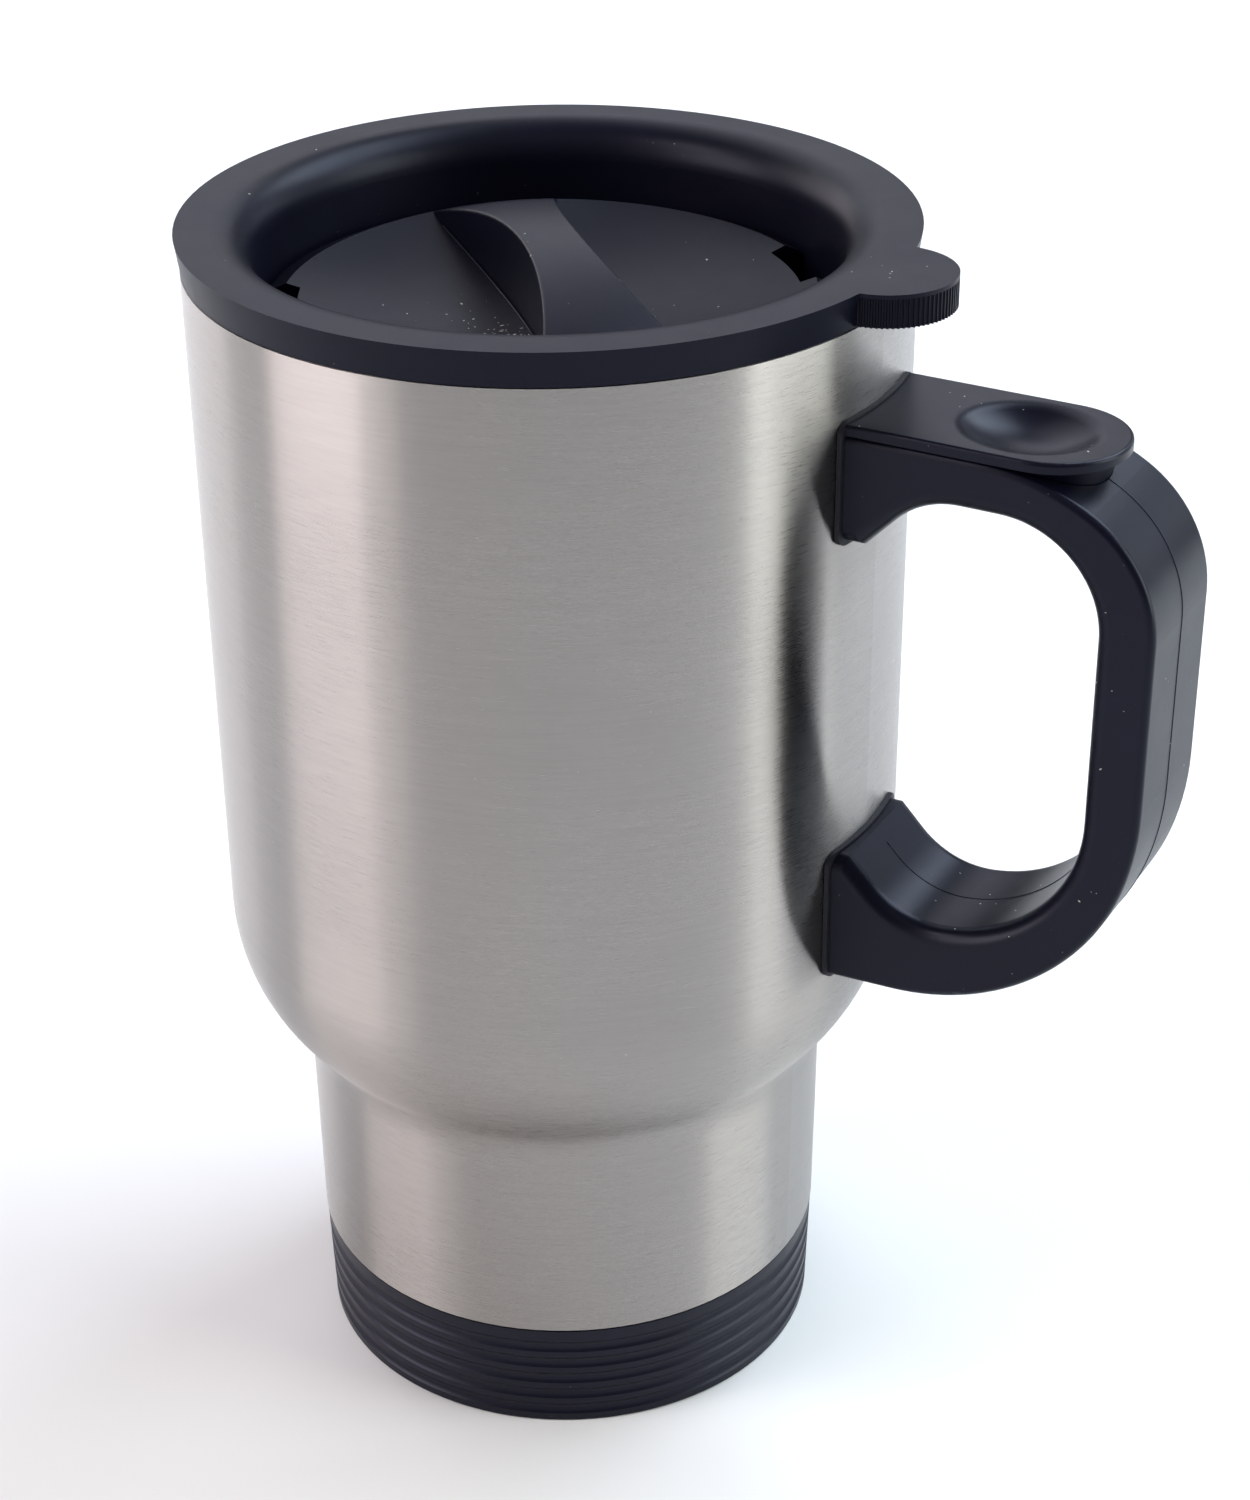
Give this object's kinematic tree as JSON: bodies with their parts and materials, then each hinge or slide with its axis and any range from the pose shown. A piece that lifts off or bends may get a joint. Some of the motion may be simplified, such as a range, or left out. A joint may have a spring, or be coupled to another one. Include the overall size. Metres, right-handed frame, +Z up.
{
  "type": "insulated travel mug",
  "caption": "Double-walled brushed steel travel mug with a necked foot, black D handle with thumb rest, and a push-in lid with a rotary closure.",
  "frame": {"origin": "on the mug's axis, in the plane the mug stands on", "axes": "+Z up along the mug's axis, +X towards the handle, +Y to the left seen from the handle"},
  "size_m": [0.1256, 0.0884, 0.1564],
  "materials": {
    "outer_steel": "satin, brushed round the body",
    "liner_steel": "fine spun satin",
    "base_rubber": "matte",
    "handle_plastic": "fine spark texture",
    "lid_plastic": "fine spark texture",
    "seal_rubber": "matte silicone",
    "fastener_steel": "plain steel",
    "insert_brass": "plain"
  },
  "bodies": {
    "mug": {"outer_shell": "outer_steel", "inner_liner": "liner_steel", "bottom_disc": "liner_steel", "base_cap": "base_rubber", "foot_pad": "base_rubber", "handle_body": "handle_plastic", "thumb_rest": "handle_plastic", "upper_handle_pad": "seal_rubber", "lower_handle_pad": "seal_rubber", "upper_thread_insert": "insert_brass", "lower_thread_insert": "insert_brass", "upper_handle_screw": "fastener_steel", "lower_handle_screw": "fastener_steel", "upper_backing_plate": "fastener_steel", "lower_backing_plate": "fastener_steel"},
    "lid": {"lid_body": "lid_plastic", "lid_gasket": "seal_rubber", "port_seal": "seal_rubber", "pivot_o_ring": "seal_rubber"},
    "dial": {"closure_dial": "lid_plastic", "pivot_screw": "fastener_steel", "pivot_washer": "fastener_steel"}
  },
  "joints": [
    {"name": "lid_lift", "type": "slide", "parent": "mug", "child": "lid", "axis": [0, 0, 1], "range_m": [0, 0.06]},
    {"name": "closure_turn", "type": "hinge", "parent": "lid", "child": "dial", "pos_m": [0, 0, 0.1463], "axis": [0, 0, 1], "range_deg": [0, 60]}
  ]
}
